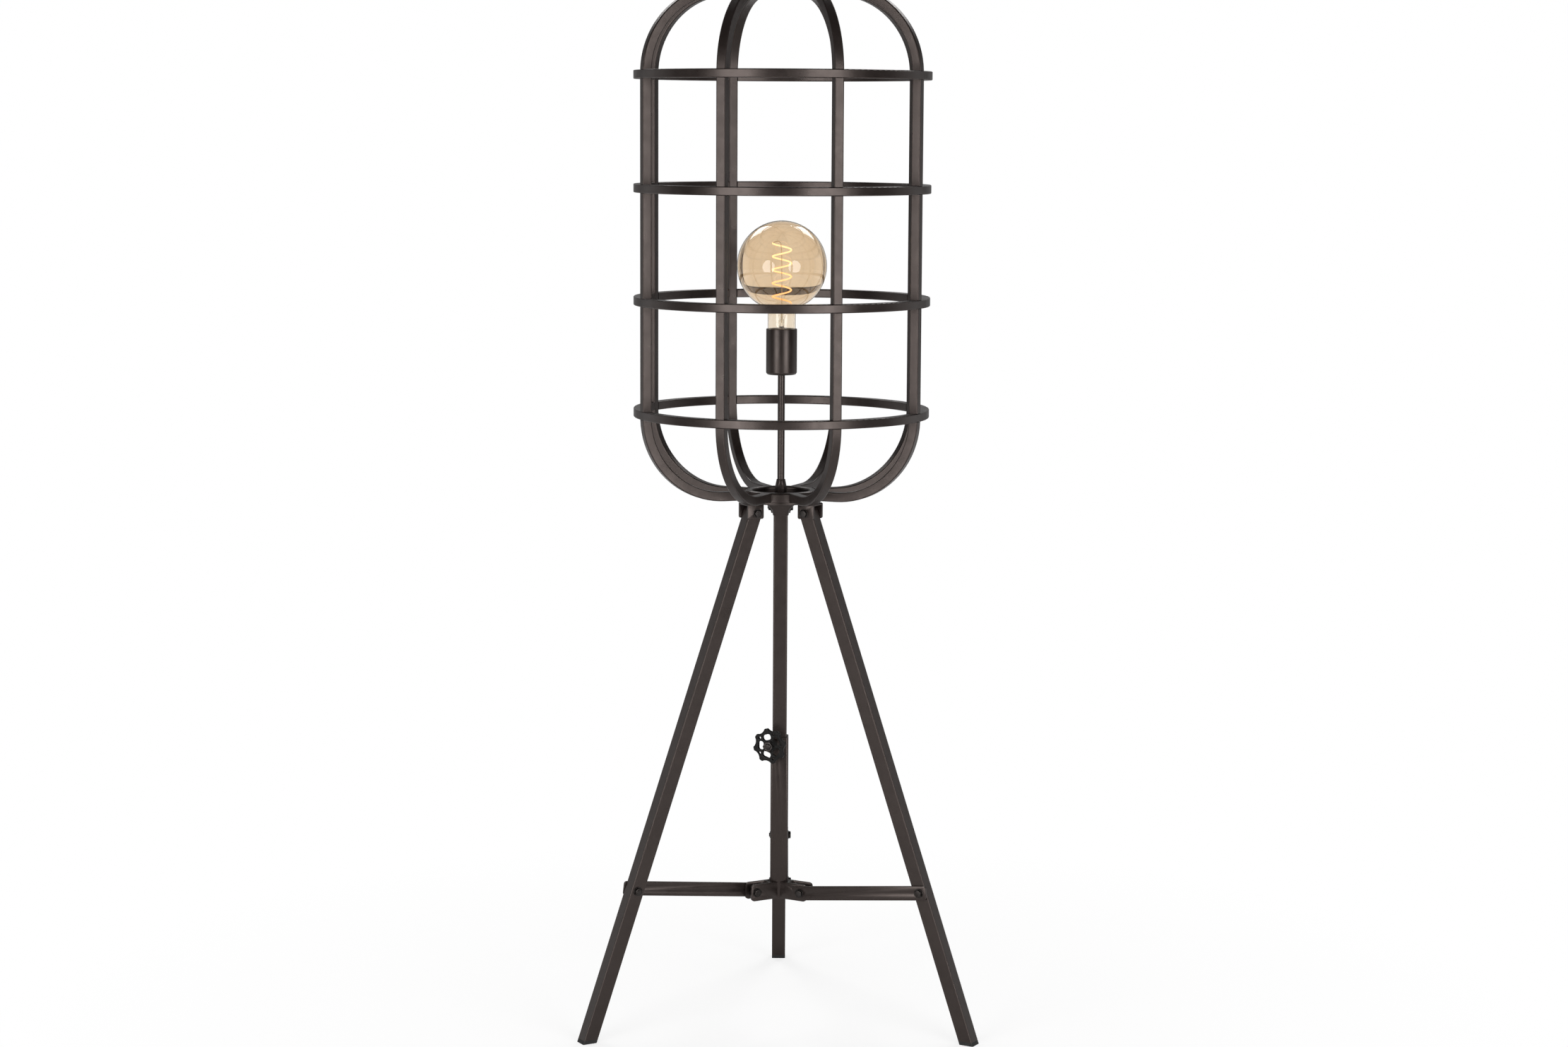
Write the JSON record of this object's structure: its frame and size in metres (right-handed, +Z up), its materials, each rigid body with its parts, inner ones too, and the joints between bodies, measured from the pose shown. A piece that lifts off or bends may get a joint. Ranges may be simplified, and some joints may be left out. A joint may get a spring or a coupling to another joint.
{
  "type": "wire cage floor lamp",
  "caption": "Floor lamp: a round-ended bar cage around a bare globe bulb on a stem, standing on a folding tripod whose flat stays tie the legs to a clamped sliding sleeve.",
  "frame": {"origin": "middle of the underside of the whole lamp's bounding box, on the floor; the lamp's upright axis stands at y = -0.0548 m", "axes": "+Z up along the column; the side seen in the picture faces -Y; one leg points to +Y"},
  "size_m": [0.5556, 0.5216, 1.449],
  "materials": {
    "frame_paint": "satin bronze-black powder coat",
    "dark_fastener": "blackened steel",
    "handwheel_iron": "black painted cast iron",
    "foot_rubber": "matt black rubber",
    "black_plastic": "matt black",
    "lead_insulation": "brown insulation",
    "white_ceramic": "glazed white ceramic, stood in by gloss plastic",
    "socket_brass": "bright brass",
    "cap_metal": "bright brass",
    "black_glaze": "black glass",
    "amber_glass": "clear amber-tinted glass",
    "filament_glow": "warm coated filament",
    "mount_glass": "clear glass"
  },
  "bodies": {
    "root": {"cage_rib_1": "frame_paint", "cage_rib_2": "frame_paint", "cage_rib_3": "frame_paint", "cage_rib_4": "frame_paint", "cage_rib_5": "frame_paint", "cage_rib_6": "frame_paint", "cage_rib_7": "frame_paint", "cage_rib_8": "frame_paint", "cage_hoop_1": "frame_paint", "cage_hoop_2": "frame_paint", "cage_hoop_3": "frame_paint", "cage_hoop_4": "frame_paint", "cage_crown": "frame_paint", "base_ring": "frame_paint", "base_plate": "frame_paint", "cord_outlet_bush": "foot_rubber", "stem_coupling": "frame_paint", "base_nipple": "dark_fastener", "stem_tube": "frame_paint", "supply_leads": "lead_insulation", "lampholder_cup": "frame_paint", "stem_lock_nut": "dark_fastener", "lampholder_core": "white_ceramic", "lampholder_screw_shell": "socket_brass", "lampholder_contact": "socket_brass", "column": "frame_paint", "column_collar": "frame_paint", "column_top_plug": "frame_paint", "column_end_plug": "black_plastic", "leg_brackets": "frame_paint", "leg_hinge_bolts": "dark_fastener"},
    "bulb_tip": {"bulb_tip": "cap_metal"},
    "bulb": {"bulb_globe": "amber_glass", "bulb_cap": "cap_metal", "bulb_insulator": "black_glaze", "bulb_filament": "filament_glow", "bulb_mount": "mount_glass"},
    "sleeve": {"sleeve": "frame_paint", "clamp_boss": "frame_paint", "stay_lugs": "frame_paint", "stay_lug_bolts": "dark_fastener"},
    "clamp_screw": {"clamp_screw": "dark_fastener"},
    "handwheel": {"handwheel": "handwheel_iron", "handwheel_nut": "dark_fastener"},
    "leg_1": {"leg_1": "frame_paint", "foot_1": "foot_rubber", "stay_nut_1": "dark_fastener"},
    "stay_1": {"stay_1": "frame_paint", "stay_bolt_1": "dark_fastener"},
    "leg_2": {"leg_2": "frame_paint", "foot_2": "foot_rubber", "stay_nut_2": "dark_fastener"},
    "stay_2": {"stay_2": "frame_paint", "stay_bolt_2": "dark_fastener"},
    "leg_3": {"leg_3": "frame_paint", "foot_3": "foot_rubber", "stay_nut_3": "dark_fastener"},
    "stay_3": {"stay_3": "frame_paint", "stay_bolt_3": "dark_fastener"}
  },
  "joints": [
    {"name": "sleeve_slide", "type": "slide", "parent": "root", "child": "sleeve", "axis": [0, 0, -1], "range_m": [0, 0.19577]},
    {"name": "leg_1_fold", "type": "hinge", "parent": "root", "child": "leg_1", "pos_m": [0, -0.00981, 0.723], "axis": [-1, 0, 0], "range_deg": [0, 16.79]},
    {"name": "stay_1_fold", "type": "hinge", "parent": "sleeve", "child": "stay_1", "pos_m": [0, -0.01381, 0.182], "axis": [1, 0, 0], "range_deg": [0, 72.84]},
    {"name": "leg_2_fold", "type": "hinge", "parent": "root", "child": "leg_2", "pos_m": [-0.03897, -0.07731, 0.723], "axis": [0.5, -0.866, 0], "range_deg": [0, 16.79]},
    {"name": "stay_2_fold", "type": "hinge", "parent": "sleeve", "child": "stay_2", "pos_m": [-0.03551, -0.07531, 0.182], "axis": [-0.5, 0.866, 0], "range_deg": [0, 72.84]},
    {"name": "leg_3_fold", "type": "hinge", "parent": "root", "child": "leg_3", "pos_m": [0.03897, -0.07731, 0.723], "axis": [0.5, 0.866, 0], "range_deg": [0, 16.79]},
    {"name": "stay_3_fold", "type": "hinge", "parent": "sleeve", "child": "stay_3", "pos_m": [0.03551, -0.07531, 0.182], "axis": [-0.5, -0.866, 0], "range_deg": [0, 72.84]},
    {"name": "clamp_screw_travel", "type": "slide", "parent": "sleeve", "child": "clamp_screw", "axis": [-0.4067, -0.9135, 0], "range_m": [0, 0.00251]},
    {"name": "handwheel_turn", "type": "hinge", "parent": "clamp_screw", "child": "handwheel", "pos_m": [-0.01342, -0.08496, 0.3935], "axis": [-0.4067, -0.9135, 0], "range_deg": [0, 720]},
    {"name": "bulb_travel", "type": "slide", "parent": "root", "child": "bulb_tip", "axis": [0, 0, 1], "range_m": [0, 0.02179]},
    {"name": "bulb_turn", "type": "hinge", "parent": "bulb_tip", "child": "bulb", "pos_m": [0, -0.05481, 1], "axis": [0, 0, 1], "range_deg": [0, 2160]}
  ],
  "couplings": [
    {"joint": "leg_1_fold", "follows": "sleeve_slide", "rad_per_m": 1.4959},
    {"joint": "stay_1_fold", "follows": "sleeve_slide", "rad_per_m": 6.4927},
    {"joint": "leg_2_fold", "follows": "sleeve_slide", "rad_per_m": 1.4959},
    {"joint": "stay_2_fold", "follows": "sleeve_slide", "rad_per_m": 6.4927},
    {"joint": "leg_3_fold", "follows": "sleeve_slide", "rad_per_m": 1.4959},
    {"joint": "stay_3_fold", "follows": "sleeve_slide", "rad_per_m": 6.4927},
    {"joint": "clamp_screw_travel", "follows": "handwheel_turn", "m_per_rad": 0.00019894},
    {"joint": "bulb_travel", "follows": "bulb_turn", "m_per_rad": 0.00057773}
  ]
}
